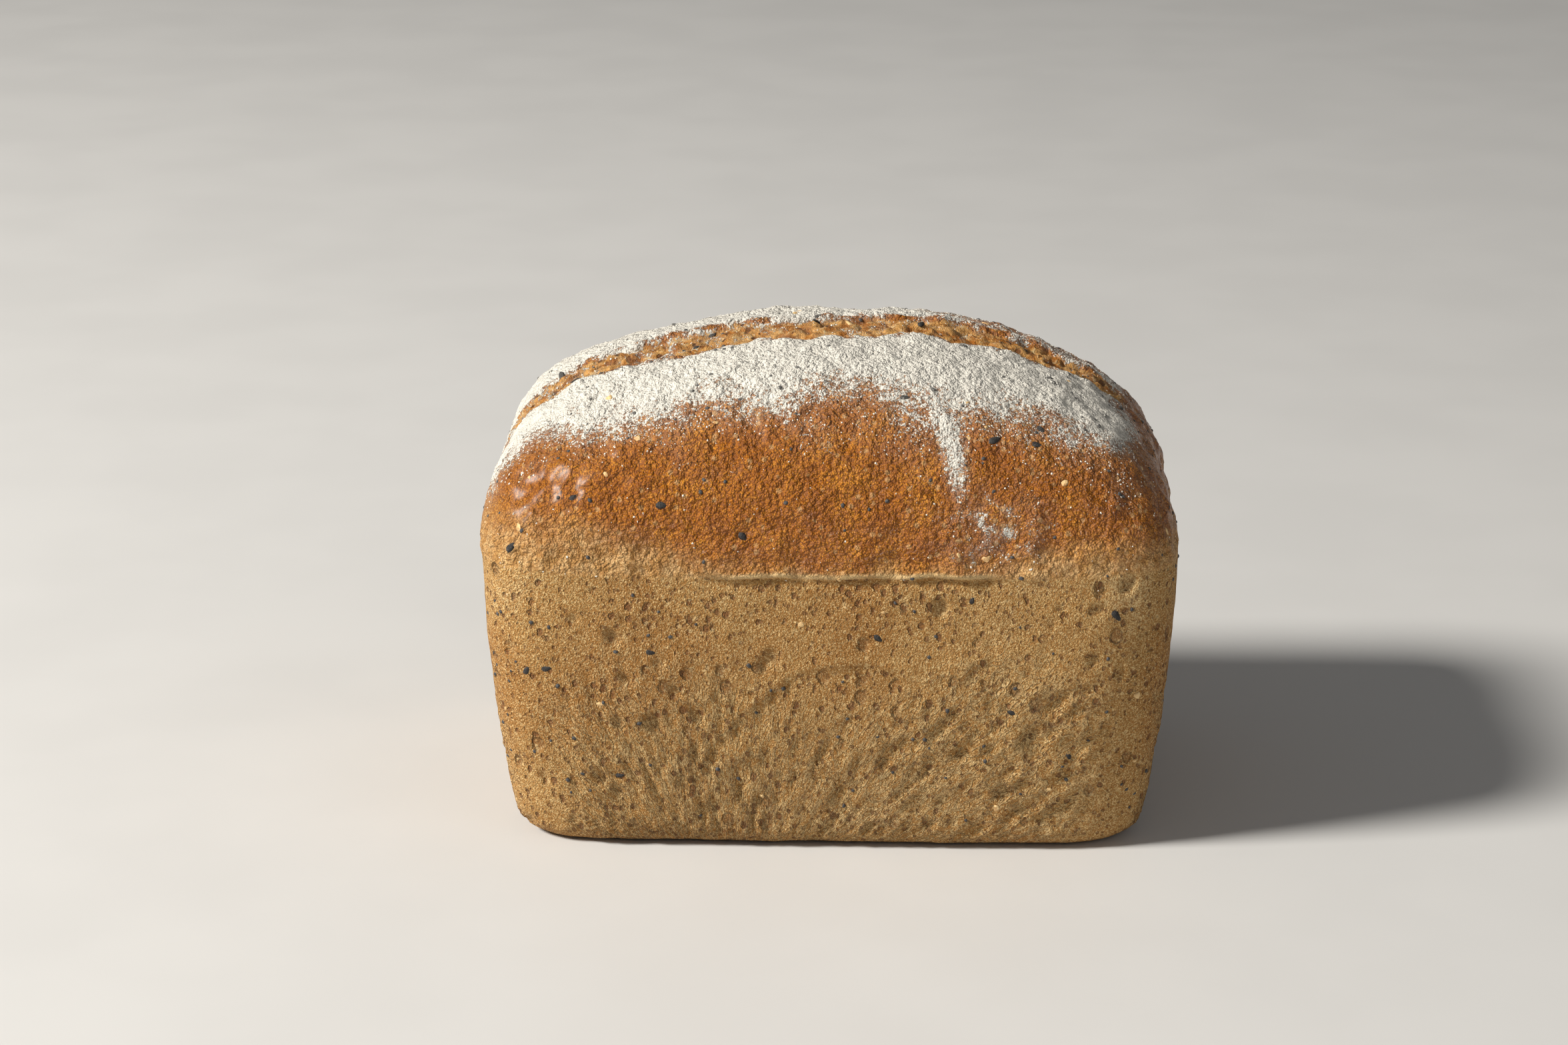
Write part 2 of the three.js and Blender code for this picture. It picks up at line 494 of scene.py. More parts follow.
def browning(places, fields):
    """How dark each place has baked, 0 to 1, before the fine mottling."""
    x, y, z = places.T
    patches = 0.5 + 0.55 * lumps(places, 30 * MM, 31, 3)
    ends = smooth(HALF.x - 12 * MM, HALF.x - 4 * MM, np.abs(x)) * fields["wall"]
    left_patch = hump(x + 52 * MM, 24 * MM) * hump(z - 46 * MM, 22 * MM)
    bottom = smooth(9 * MM, 1 * MM, z)
    pale_corner = hump(np.abs(x) - 80 * MM, 12 * MM) * hump(z - 66 * MM, 11 * MM)
    baked = 0.75 * patches + 0.35 * ends + 0.4 * left_patch + 0.25 * bottom - 0.5 * pale_corner
    return np.clip(baked, 0, 1)


# The six sides of the box laid out on the bake map: axis, sign, the two axes that run across
# and up the chart, and its left, bottom, width and height.
CHARTS = (
    (1, -1, 0, 2, (0.0, 0.66, 0.5, 0.34)),
    (1, 1, 0, 2, (0.5, 0.66, 0.5, 0.34)),
    (2, 1, 0, 1, (0.0, 0.32, 0.5, 0.34)),
    (0, -1, 1, 2, (0.5, 0.32, 0.25, 0.34)),
    (0, 1, 1, 2, (0.75, 0.32, 0.25, 0.34)),
    (2, -1, 0, 1, (0.0, 0.0, 0.45, 0.32)),
)
CHART_MARGIN = 0.004


def lay_out_bake_map(mesh, box_places):
    """Gives the crust a bake map with one chart for each side of its box."""
    loops = np.empty(len(mesh.loops), dtype=np.int32)
    mesh.loops.foreach_get("vertex_index", loops)
    at = box_places[loops]
    middles = at.reshape(-1, 4, 3).mean(axis=1)
    face_of_loop = np.repeat(np.arange(len(mesh.polygons)), 4)
    uv = np.zeros((len(loops), 2))
    for axis, sign, across, up, (left, low, width, height) in CHARTS:
        on_side = (middles[:, axis] * sign > 1 - 1e-6)[face_of_loop]
        u, v = (at[on_side, across] + 1) / 2, (at[on_side, up] + 1) / 2
        uv[on_side, 0] = left + CHART_MARGIN + u * (width - 2 * CHART_MARGIN)
        uv[on_side, 1] = low + CHART_MARGIN + v * (height - 2 * CHART_MARGIN)
    mesh.uv_layers.new(name=BAKE_MAP).data.foreach_set("uv", uv.ravel())


def store(mesh, name, values):
    """Keeps a field on the mesh's corners for the finish to read."""
    mesh.attributes.new(name, "FLOAT", "POINT").data.foreach_set(
        "value", np.asarray(values, dtype=np.float32)
    )


def finish_piece(name, mesh, material):
    """Puts a finished mesh into the scene as a piece of the loaf."""
    mesh.materials.append(material)
    mesh.shade_smooth()
    piece = bpy.data.objects.new(name, mesh)
    bpy.context.scene.collection.objects.link(piece)
    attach(piece, "root")
    return piece


def bake_crust(scene):
    """Models the loaf's whole crust as one closed mesh."""
    crust, slash, flour = scene.crust_sizes, scene.slash_sizes, scene.flour_sizes
    box = cut_box(GRID)
    box_places = np.array([v.co[:] for v in box.verts])
    wrap_on_solid(box, crust.tin_line)
    places, normals = corners_and_normals(box)
    relief, fields = crust_relief(crust, slash, places, normals)
    fields["flour"] = flour_cover(flour, slash, places, normals, fields)
    fields["browning"] = browning(places, fields)
    clots = 0.6 + 0.5 * lumps(places, 3 * MM, 26, 2)
    relief += flour.thickness * clots * smooth(0.35, 0.9, fields["flour"])
    moved = places + normals * relief[:, None]
    moved[:, 2] = np.maximum(moved[:, 2], 0)
    for v, place in zip(box.verts, moved.tolist()):
        v.co = place
    mesh = bpy.data.meshes.new("crust")
    box.to_mesh(mesh)
    box.free()
    lay_out_bake_map(mesh, box_places)
    for name in ("wall", "torn", "hollow", "flour", "browning", "ledge", "paling", "webbed"):
        store(mesh, name, fields[name])
    strands = mesh.attributes.new("strands", "FLOAT_VECTOR", "POINT").data
    strands.foreach_set("vector", (fields["strands"] / MM).astype(np.float32).ravel())
    store(mesh, "above", fields["above"] / MM)
    piece = finish_piece("crust", mesh, crust_finish(scene.loaf_colours))
    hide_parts("loaf")


# Wiring finishes


class Wires:
    """Adds nodes to one node tree, each fed as it is made."""

    def __init__(self, tree):
        self.tree = tree

    def node(self, kind, feeds=(), **settings):
        """A new node with its settings, fed from a mapping of sockets to values or outputs."""
        made = self.tree.nodes.new(kind)
        for name, value in settings.items():
            setattr(made, name, value)
        for socket, source in dict(feeds).items():
            if isinstance(source, bpy.types.NodeSocket):
                self.tree.links.new(source, made.inputs[socket])
            else:
                made.inputs[socket].default_value = source
        return made

    def math(self, operation, a, b=0.0):
        """The result of an operation on one or two values."""
        return self.node("ShaderNodeMath", {0: a, 1: b}, operation=operation).outputs[0]

    def times(self, a, b):
        return self.math("MULTIPLY", a, b)

    def plus(self, a, b):
        return self.math("ADD", a, b)

    def total(self, *parts):
        """The sum of some values, each given with its weight."""
        weighed = [self.times(value, weight) for value, weight in parts]
        result = weighed[0]
        for value in weighed[1:]:
            result = self.plus(result, value)
        return result

    def coats(self, tint, *coats):
        """A tint with coats laid over it, each given with its mask, its strength and its colour."""
        for mask, strength, rgb in coats:
            tint = self.blend(self.times(mask, strength), tint, opaque(rgb))
        return tint

    def ramp(self, value, low, high, to_low=0.0, to_high=1.0):
        """Maps low..high smoothly to to_low..to_high, and holds the ends."""
        feeds = {"Value": value, "From Min": low, "From Max": high,
                 "To Min": to_low, "To Max": to_high}
        made = self.node("ShaderNodeMapRange", feeds, interpolation_type="SMOOTHSTEP")
        return made.outputs[0]

    def blend(self, amount, a, b):
        """Colour a where the amount is 0 and b where it is 1."""
        made = self.node("ShaderNodeMix", {0: amount, 6: a, 7: b}, data_type="RGBA")
        return made.outputs[2]

    def shade(self, amount, a, b):
        """Value a where the amount is 0 and b where it is 1."""
        return self.node("ShaderNodeMix", {0: amount, 2: a, 3: b}).outputs[0]

    def noise(self, place, size, detail=2.0, rough=0.5, distortion=0.0):
        """Noise around 0.5, with lumps of the given size in millimetres."""
        feeds = {"Vector": place, "Scale": 1 / size, "Detail": detail, "Roughness": rough,
                 "Distortion": distortion}
        return self.node("ShaderNodeTexNoise", feeds).outputs[0]

    def cells(self, place, size):
        """A Voronoi node with cells of the given size in millimetres."""
        return self.node("ShaderNodeTexVoronoi", {"Vector": place, "Scale": 1 / size})

    def scaled(self, vector, amount):
        """A vector or a colour times an amount."""
        made = self.node("ShaderNodeVectorMath", {0: vector, "Scale": amount}, operation="SCALE")
        return made.outputs[0]

    def field(self, name):
        """A field kept on the mesh."""
        return self.node("ShaderNodeAttribute", attribute_name=name).outputs["Fac"]

    def millimetres(self):
        """The place on the object, in millimetres."""
        return self.scaled(self.node("ShaderNodeTexCoord").outputs["Object"], 1 / MM)


def opaque(rgb):
    """A colour with full alpha, as sockets take it."""
    return (*rgb, 1.0)


def new_group(name, inputs, outputs):
    """An empty shader node group with its sockets, and its wires, input and output nodes."""
    tree = bpy.data.node_groups.new(name, "ShaderNodeTree")
    for sockets, in_out in ((inputs, "INPUT"), (outputs, "OUTPUT")):
        for label, kind in sockets.items():
            tree.interface.new_socket(label, in_out=in_out, socket_type="NodeSocket" + kind)
    return tree, Wires(tree), tree.nodes.new("NodeGroupInput"), tree.nodes.new("NodeGroupOutput")


def send(tree, output_node, **results):
    """Links results to a group's outputs by name."""
    for label, source in results.items():
        tree.links.new(source, output_node.inputs[label])


def flour_group():
    """Flour over any finish: white clots that thin out into single grains."""
    name = "Flour dust"
    if name in bpy.data.node_groups:
        return bpy.data.node_groups[name]
    tree, wires, given, out = new_group(
        name,
        {"Place": "Vector", "Cover": "Float", "Flour": "Color",
         "Under": "Color", "Under roughness": "Float", "Under height": "Float"},
        {"Color": "Color", "Roughness": "Float", "Height": "Float", "Mask": "Float"},
    )
    place, cover = given.outputs["Place"], given.outputs["Cover"]
    fine = wires.noise(place, 0.5, 3, 0.65)
    clots = wires.noise(place, 1.4, 2, 0.6)
    drifts = wires.noise(place, 7, 2, 0.5)
    mixed = wires.total((fine, 0.52), (clots, 0.36), (drifts, 0.12))
    edge = wires.plus(wires.times(cover, -0.37), 0.68)
    mask = wires.ramp(wires.math("SUBTRACT", mixed, edge), -0.008, 0.022)
    veil = wires.times(wires.math("POWER", cover, 1.6), 0.4)
    grain = wires.cells(place, 0.45).outputs["Distance"]
    height = wires.total((clots, 0.6), (grain, -0.16), (fine, 0.45))
    dim = wires.ramp(wires.noise(place, 2.6, 3), 0.3, 0.75, 0.86, 1.0)
    white = wires.scaled(given.outputs["Flour"], dim)
    thin = wires.math("MAXIMUM", wires.times(mask, 0.97), veil)
    send(
        tree, out,
        Color=wires.blend(thin, given.outputs["Under"], white),
        Roughness=wires.shade(mask, given.outputs["Under roughness"], 0.95),
        Height=wires.plus(given.outputs["Under height"], wires.times(mask, height)),
        Mask=mask,
    )
    return tree


def speckle_group():
    """Bran specks and scorched points: a mask of scattered dots of about one size."""
    name = "Bran specks"
    if name in bpy.data.node_groups:
        return bpy.data.node_groups[name]
    tree, wires, given, out = new_group(
        name, {"Place": "Vector", "Per millimetre": "Float", "Share": "Float"}, {"Mask": "Float"}
    )
    cells = wires.node("ShaderNodeTexVoronoi",
                       {"Vector": given.outputs["Place"], "Scale": given.outputs["Per millimetre"]})
    dot = wires.ramp(cells.outputs["Distance"], 0.5, 0.28)
    chance = wires.node("ShaderNodeSeparateColor", {0: cells.outputs["Color"]}).outputs[0]
    chosen = wires.math("LESS_THAN", chance, given.outputs["Share"])
    send(tree, out, Mask=wires.times(dot, chosen))
    return tree


def use_group(wires, tree, feeds):
    """A node that uses a group, fed by the group's socket names. Gives its outputs."""
    made = wires.node("ShaderNodeGroup", node_tree=tree)
    for socket, source in feeds.items():
        if isinstance(source, bpy.types.NodeSocket):
            wires.tree.links.new(source, made.inputs[socket])
        else:
            made.inputs[socket].default_value = source
    return made.outputs


def specks(wires, place, size, share_chosen):
    """A mask of dots in the chosen share of cells of a size in millimetres."""
    feeds = {"Place": place, "Per millimetre": 1 / size, "Share": share_chosen}
    return use_group(wires, speckle_group(), feeds)["Mask"]


def new_finish(name):
    """A new material with its wires and its Principled shader."""
    material = bpy.data.materials.new(name)
    material.use_nodes = True
    wires = Wires(material.node_tree)
    return material, wires, material.node_tree.nodes["Principled BSDF"]


def set_surface(wires, shader, tint, roughness, height):
    """Feeds the shader its colour and roughness, and bumps it by a height in millimetres."""
    bump = wires.node("ShaderNodeBump", {"Strength": 1.0, "Distance": MM, "Height": height})
    links = wires.tree.links
    links.new(tint, shader.inputs["Base Color"])
    links.new(roughness, shader.inputs["Roughness"])
    links.new(bump.outputs[0], shader.inputs["Normal"])


def set_dusted(wires, shader, place, flour, tint, roughness, height):
    """Sets a surface under the flour that lies on it. Returns the mask of the flour."""
    dusted = use_group(wires, flour_group(), {
        "Place": place, "Cover": wires.field("flour"), "Flour": opaque(flour),
        "Under": tint, "Under roughness": roughness, "Under height": height,
    })
    set_surface(wires, shader, dusted["Color"], dusted["Roughness"], dusted["Height"])
    return dusted["Mask"]


# What brings the open crust and the torn bed to the level of the walls, in millimetres.
OPEN_LEVEL = -1.05
TORN_LEVEL = -1.0


def open_crust_finish(wires, place, colours):
    """The glossy crown: amber, blistered all over, paler towards the tin line."""
    blisters = wires.cells(place, 0.5).outputs["Distance"]
    bubbles = wires.cells(place, 1.3).outputs["Distance"]
    fine = wires.noise(place, 0.42, 3, 0.6)
    dents = wires.noise(place, 5, 3, 0.6, 0.3)
    height = wires.total((blisters, -0.36), (bubbles, -0.85), (fine, 0.5), (dents, 3.0))
    height = wires.plus(height, OPEN_LEVEL)

    browned = wires.total((wires.noise(place, 9, 3, 0.6), 0.45),
                          (wires.noise(place, 1.1, 4, 0.75), 0.65))
    # painted shade: the low gaps between the blisters are darkened, with chestnut on the crown and
    # with toast on its paler crust
    shaded_gaps = wires.ramp(wires.plus(blisters, wires.times(fine, -0.6)), 0.0, 0.3)
    tint = wires.coats(
        opaque(colours.amber),
        (wires.ramp(browned, 0.42, 0.58), 1, colours.honey),
        (wires.ramp(browned, 0.6, 0.74), 1, colours.chestnut_and_shade),
        (shaded_gaps, 0.75, colours.chestnut_and_shade),
    )
    golden = wires.coats(
        opaque(colours.sand),
        (wires.ramp(wires.noise(place, 2.4, 4, 0.7), 0.4, 0.6), 1, colours.cream_and_highlight),
        (shaded_gaps, 0.6, colours.toast_and_shade),
    )
    pale = wires.field("paling")
    tint = wires.blend(wires.times(pale, 0.7), tint, golden)
    tint = wires.coats(tint, (specks(wires, place, 1.7, 0.16), 0.55, colours.bran))
    gloss = wires.ramp(wires.noise(place, 3, 4, 0.7), 0.35, 0.65, 0.27, 0.5)
    roughness = wires.shade(pale, gloss, 0.62)
    return tint, roughness, height


def pores(wires, place, size, share_chosen, widest):
    """Bowls with crisp rims, of many widths, in some of the cells of a pattern."""
    cells = wires.cells(place, size)
    random = wires.node("ShaderNodeSeparateColor", {0: cells.outputs["Color"]}).outputs
    rim = wires.shade(random[0], 0.12, widest)
    hole = wires.ramp(wires.math("SUBTRACT", cells.outputs["Distance"], rim), 0.03, -0.17)
    return wires.times(hole, wires.math("LESS_THAN", random[1], share_chosen))


def wall_strands(wires, place):
    """The strands that fan out over the walls and the sunken crumb between them, as masks for a
    painted highlight on the strands and painted shade between them.
    """
    strand_place = wires.node("ShaderNodeAttribute", attribute_name="strands").outputs["Vector"]
    long_strands = wires.node("ShaderNodeVectorMath", {0: strand_place, 1: (1, 0.4, 1)},
                              operation="MULTIPLY").outputs[0]
    strand_noise = wires.noise(long_strands, 1.9, 2, 0.6, 0.5)
    off_crest = wires.math("ABSOLUTE", wires.math("SUBTRACT", strand_noise, 0.5))
    webbed = wires.field("webbed")
    strands = wires.times(wires.ramp(off_crest, 0.07, 0.0), webbed)
    between = wires.times(wires.ramp(off_crest, 0.06, 0.2), webbed)
    return strands, between


def wall_pores(wires, place):
    """Fine, small and large pores, each a mask, on places bent so that none is quite round."""
    wander = wires.node("ShaderNodeTexNoise", {"Vector": place, "Scale": 0.5}).outputs["Color"]
    upright = wires.node("ShaderNodeVectorMath", {0: place, 1: (1, 1, 0.75)},
                         operation="MULTIPLY").outputs[0]
    bent = wires.node("ShaderNodeVectorMath", {0: wander, 1: (1.5, 1.5, 1.5), 2: upright},
                      operation="MULTIPLY_ADD").outputs[0]
    fine = pores(wires, bent, 1.15, 0.55, 0.5)
    small = pores(wires, bent, 2.1, 0.45, 0.46)
    large = pores(wires, bent, 4.6, 0.3, 0.38)
    return fine, small, large


def wall_finish(wires, place, colours):
    """The matte walls: sandy crumb with crisp pores and fine strands, browned in patches, with
    painted shade in the pores and between the strands and a painted highlight on the strands.
    """
    grit = wires.cells(place, 0.42).outputs["Distance"]
    rough = wires.noise(place, 0.6, 3, 0.7)
    strands, between = wall_strands(wires, place)
    fine, small, large = wall_pores(wires, place)
    pits = wires.total((fine, 0.26), (small, 0.5), (large, 0.85))
    height = wires.total((grit, -0.36), (rough, 0.72), (strands, 0.7), (pits, -1.9))

    mottle = wires.total((wires.noise(place, 1.1, 4, 0.75), 0.7),
                         (wires.noise(place, 6, 3, 0.6), 0.3))
    baked = wires.plus(wires.field("browning"), wires.times(mottle, 1.1))
    grains = wires.noise(place, 0.45, 3, 0.8)
    # painted shade: dots marks the pores that the height sinks, and the tint darkens them
    dots = wires.math("MAXIMUM", wires.times(fine, 0.8), small)
    dots = wires.math("MAXIMUM", dots, wires.times(large, 0.5))
    tint = wires.coats(
        opaque(colours.sand),
        (wires.ramp(baked, 0.85, 1.35), 1, colours.toast_and_shade),
        (wires.ramp(baked, 0.8, 0.5), 1, colours.cream_and_highlight),
        (wires.ramp(wires.plus(grit, wires.times(rough, 0.6)), 0.62, 0.9), 0.8, colours.toast_and_shade),
        (wires.field("hollow"), 0.45, colours.crumb),
        # painted shade between the strands, and a painted highlight on the raised strands
        (between, 0.5, colours.toast_and_shade),
        (strands, 0.45, colours.cream_and_highlight),
        (wires.ramp(grains, 0.51, 0.62), 0.8, colours.cream_and_highlight),
        (wires.ramp(grains, 0.48, 0.36), 0.9, colours.toast_and_shade),
        (dots, 0.7, colours.hollow_shade),
        (specks(wires, place, 1.4, 0.16), 0.6, colours.toast_and_shade),
        (specks(wires, place, 1.3, 0.05), 0.5, colours.cream_and_highlight),
    )
    return tint, height


def torn_finish(wires, place, colours):
    """The torn bed of the slash: rough crumb, with painted shade in its hollows and holes and a
    painted highlight on its points.
    """
    rough = wires.noise(place, 1.7, 5, 0.7, 0.5)
    patches = wires.noise(place, 4.5, 3, 0.6)
    holes = pores(wires, place, 2.6, 0.4, 0.45)
    holes = wires.math("MAXIMUM", wires.field("hollow"), holes)
    tint = wires.coats(
        opaque(colours.torn),
        (wires.ramp(patches, 0.4, 0.62), 1, colours.honey),
        # painted shade in the low places and holes of the bed, and a painted highlight on its high
        # points
        (wires.ramp(rough, 0.44, 0.3), 1, colours.hollow_shade),
        (wires.ramp(rough, 0.52, 0.68), 1, colours.cream_and_highlight),
        (holes, 0.8, colours.hollow_shade),
    )
    height = wires.total((rough, 2.0), (wires.noise(place, 0.5, 2), 0.4), (holes, -0.8))
    return tint, wires.plus(height, TORN_LEVEL)


WALL_ROUGHNESS = 0.82
TORN_ROUGHNESS = 0.6
COAT_WEIGHT = 0.25  # of the shine on the bare crown
COAT_ROUGHNESS = 0.3
SPECULAR_LEVEL = 0.32


def crust_finish(colours):
    """The whole crust, from the matte walls to the floured crown."""
    material, wires, shader = new_finish("Crust")
    place = wires.millimetres()
    wobble = wires.times(wires.math("SUBTRACT", wires.noise(place, 1.6, 3), 0.5), 0.5)
    wall = wires.ramp(wires.plus(wires.field("wall"), wobble), 0.3, 0.7)
    torn = wires.ramp(wires.plus(wires.field("torn"), wobble), 0.35, 0.65)
    open_tint, open_rough, open_height = open_crust_finish(wires, place, colours)
    wall_tint, wall_height = wall_finish(wires, place, colours)
    torn_tint, torn_height = torn_finish(wires, place, colours)
    tint = wires.blend(torn, wires.blend(wall, open_tint, wall_tint), torn_tint)
    roughness = wires.shade(torn, wires.shade(wall, open_rough, WALL_ROUGHNESS), TORN_ROUGHNESS)
    height = wires.shade(torn, wires.shade(wall, open_height, wall_height), torn_height)
    above = wires.plus(wires.field("above"), wires.times(wobble, 1.2))
    ledge = wires.field("ledge")
    # painted highlight: a paler line along the raised lip of the tin line; painted shade: a darker
    # line in its crease
    ridge = wires.times(wires.ramp(above, -0.1, 0.6), wires.ramp(above, 1.9, 1.0))
    crease = wires.times(wires.ramp(above, -2.2, -1.0), wires.ramp(above, 0.1, -0.4))
    tint = wires.coats(tint, (wires.times(ridge, ledge), 0.7, colours.cream_and_highlight),
                       (wires.times(crease, ledge), 0.3, colours.toast_and_shade))
    mask = set_dusted(wires, shader, place, colours.flour, tint, roughness, height)
    bare = wires.math("SUBTRACT", 1.0, wires.math("MAXIMUM", wall, mask))
    bare = wires.times(bare, wires.math("SUBTRACT", 1.0, wires.field("paling")))
    wires.tree.links.new(wires.times(bare, COAT_WEIGHT), shader.inputs["Coat Weight"])
    shader.inputs["Coat Roughness"].default_value = COAT_ROUGHNESS
    shader.inputs["Specular IOR Level"].default_value = SPECULAR_LEVEL
    return material


def seed_finish(name, dark, light, flour):
    """A hard, faintly ribbed seed coat with a little flour on it."""
    material, wires, shader = new_finish(name)
    place = wires.millimetres()
    mottle = wires.noise(place, 0.7, 3, 0.6)
    # the paler tone is partly the coat's own mottling and partly a painted sheen
    tint = wires.blend(wires.ramp(mottle, 0.45, 0.75), opaque(dark), opaque(light))
    roughness = wires.ramp(mottle, 0.3, 0.7, 0.4, 0.7)
    ribs = wires.times(wires.noise(place, 0.35, 3, 0.7), 0.3)
    set_dusted(wires, shader, place, flour, tint, roughness, ribs)
    return material


def bran_finish(colours):
    """A thin, papery flake of bran."""
    material, wires, shader = new_finish("Bran")
    place = wires.millimetres()
    mottle = wires.noise(place, 1.1, 4, 0.65)
    tint = wires.coats(opaque(colours.bran), (wires.ramp(mottle, 0.35, 0.7), 1, colours.cream_and_highlight),
                       (specks(wires, place, 0.8, 0.3), 0.5, colours.honey))
    roughness = wires.ramp(mottle, 0.3, 0.7, 0.6, 0.8)
    set_surface(wires, shader, tint, roughness, wires.times(mottle, 0.5))
    return material


def flour_finish(colours):
    """Clots of flour: dry, soft and uneven."""
    material, wires, shader = new_finish("Flour")
    place = wires.millimetres()
    mottle = wires.noise(place, 0.8, 3, 0.6)
    dim = wires.ramp(mottle, 0.3, 0.7, 0.84, 1.0)
    tint = wires.scaled(colours.flour, dim)
    roughness = wires.ramp(mottle, 0.2, 0.8, 0.88, 1.0)
    set_surface(wires, shader, tint, roughness, wires.times(wires.noise(place, 0.25, 2), 0.2))
    return material


def floor_finish(colours):
    """A plain pale floor with the faintest mottling."""
    material, wires, shader = new_finish("Studio floor")
    place = wires.millimetres()
    mottle = wires.noise(place, 60, 3)
    dim = wires.ramp(mottle, 0.3, 0.7, 0.985, 1.0)
    tint = wires.scaled(colours.floor, dim)
    roughness = wires.ramp(mottle, 0.3, 0.7, 0.6, 0.7)
    set_surface(wires, shader, tint, roughness, wires.times(mottle, 0.05))
    return material


# Seeds, flakes and clots of flour

# Chosen sesame seeds: "front" seeds by their place along and up the front, "top" seeds by
# their place along and across the crown, each with its turn in degrees and its size.
CHOSEN_SESAME = (
    ("front", -75, 78, 55, 1.0),
    ("front", -39, 89, -8, 1.05),
    ("front", -20, 82, -55, 1.1),
    ("front", 68, 63, -50, 1.15),
    ("front", 12, 57, -40, 0.95),
    ("front", -72, 47, 60, 0.9),
    ("front", -67, 48, 15, 0.85),
    ("front", -42, 53, -5, 0.8),
    ("front", -50, 20, 20, 0.85),
    ("front", 44, 38, -20, 0.8),
    ("front", 34, 67, 70, 0.7),
    ("front", 58, 26, -60, 0.75),
    ("front", -60, 90, 30, 0.75),
    ("top", 39, -46, 10, 1.1),
    ("top", 49, -45, -15, 1.05),
    ("top", 50, -40, -60, 1.1),
    ("top", -39, 1, 15, 1.0),
    ("top", -33, -5, 12, 1.05),
    ("top", -30, 6, 40, 0.8),
    ("top", -4, 5, 80, 0.9),
    ("top", 18, -38, -15, 0.95),
    ("top", 22, 6, 20, 0.9),
    ("top", 47, 9, -10, 0.95),
)
OUTSIDE = 0.3  # a distance that is well outside the loaf
BASE_EDGE = -0.96  # share of the half height below which nothing is strewn
SEED_ROUNDS = 2  # how finely the ball that makes a seed is split
SEED_DENTS = 1.4  # how closely the dents in a seed lie
SESAME_SHAPE = (1, 0.56, 0.34)  # half length, width and thickness, as shares of the first
POPPY_SHAPE = (1, 0.8, 0.75)
CLOT_SHAPE = (1, 0.8, 0.6)


def crust_tree():
    """The finished crust, to seat things on."""
    mesh = bpy.data.objects["crust"].data
    return BVHTree.FromPolygons(
        [v.co for v in mesh.vertices], [tuple(p.vertices) for p in mesh.polygons]
    )


def cover_at(mesh, tree, place):
    """How much flour lies on the crust at a place."""
    face = mesh.polygons[tree.find_nearest(place)[2]]
    cover = mesh.attributes["flour"].data
    return sum(cover[i].value for i in face.vertices) / len(face.vertices)


def seat_from(tree, origin, way):
    """Where a straight line first meets the crust, and the way the crust faces there."""
    place, out, _face, _gap = tree.ray_cast(origin, way)
    return place, out


def chosen_seat(tree, side, a, b):
    """The seat of a thing whose place on the front or the top is given in millimetres."""
    if side == "front":
        return seat_from(tree, Vector((a * MM, -OUTSIDE, b * MM)), Vector((0, 1, 0)))
    return seat_from(tree, Vector((a * MM, b * MM, OUTSIDE)), Vector((0, 0, -1)))


def strewn_seat(tree, rng, low=BASE_EDGE):
    """A seat anywhere on the crust but its base, more or less evenly spread."""
    while True:
        way = Vector((rng.uniform(-1, 1) * HALF.x, rng.uniform(-1, 1) * HALF.y,
                      rng.uniform(low, 1) * HALF.z))
        flat = max(abs(way.x) / HALF.x, abs(way.y) / HALF.y, abs(way.z) / HALF.z)
        way /= flat
        if way.z < low * HALF.z:
            continue
        return seat_from(tree, MIDDLE + way * 2, -way)


def lie_on(place, out, turn, sink):
    """A matrix that lays a thing flat on the crust, turned about the way the crust faces."""
    tilt = out.to_track_quat("Z", "Y").to_matrix().to_4x4()
    spin = Matrix.Rotation(turn, 4, "Z")
    return Matrix.Translation(place - out * sink) @ tilt @ spin


def add_pebble(bm, matrix, half_sizes, taper, uneven):
    """A rounded, tapered and uneven pebble, which may be a seed or a flake."""
    made = bmesh.ops.create_icosphere(bm, subdivisions=SEED_ROUNDS, radius=1)["verts"]
    shift = matrix.translation / MM
    for v in made:
        narrow = 1 - taper * v.co.x
        grow = 1 + uneven * noise.noise(v.co * SEED_DENTS + shift)
        v.co = Vector((v.co.x * half_sizes[0] * grow, v.co.y * half_sizes[1] * narrow * grow,
                       v.co.z * half_sizes[2] * narrow))
    bmesh.ops.transform(bm, matrix=matrix, verts=made)
    return made


def pebble_piece(name, pebbles, material, uneven):
    """One piece of many pebbles, each given its matrix, half sizes, taper and flour."""
    bm = bmesh.new()
    dusting = []
    for matrix, half_sizes, taper, cover in pebbles:
        made = add_pebble(bm, matrix, half_sizes, taper, uneven)
        dusting += [cover] * len(made)
    mesh = bpy.data.meshes.new(name)
    bm.to_mesh(mesh)
    bm.free()
    store(mesh, "flour", dusting)
    finish_piece(name, mesh, material)


def sow_sesame(scene):
    """Black sesame seeds: flat and pear-shaped, half sunk in the crust."""
    sizes, colours = scene.seed_sizes, scene.loaf_colours
    tree, mesh, rng = crust_tree(), bpy.data.objects["crust"].data, random.Random(11)
    seats = [
        (*chosen_seat(tree, side, a, b), math.radians(turn), size)
        for side, a, b, turn, size in CHOSEN_SESAME
    ]
    while len(seats) < len(CHOSEN_SESAME) + sizes.sesame_strewn:
        place, out = strewn_seat(tree, rng, -0.8)
        if place.y > -0.3 * HALF.y:
            seats.append((place, out, rng.uniform(0, math.tau), rng.uniform(0.75, 1.05)))
    pebbles = []
    for place, out, turn, size in seats:
        half = sizes.sesame / 2 * size
        halves = [half * part for part in SESAME_SHAPE]
        matrix = lie_on(place, out, turn, halves[2] * 0.5)
        pebbles.append((matrix, halves, 0.3, 0.55 * cover_at(mesh, tree, place)))
    # the paler tone: partly mottling of the coat and partly a painted sheen
    light = tuple(c * 5 for c in colours.sesame)
    finish = seed_finish("Black sesame", colours.sesame, light, colours.flour)
    pebble_piece("sesame_seeds", pebbles, finish, 0.3)


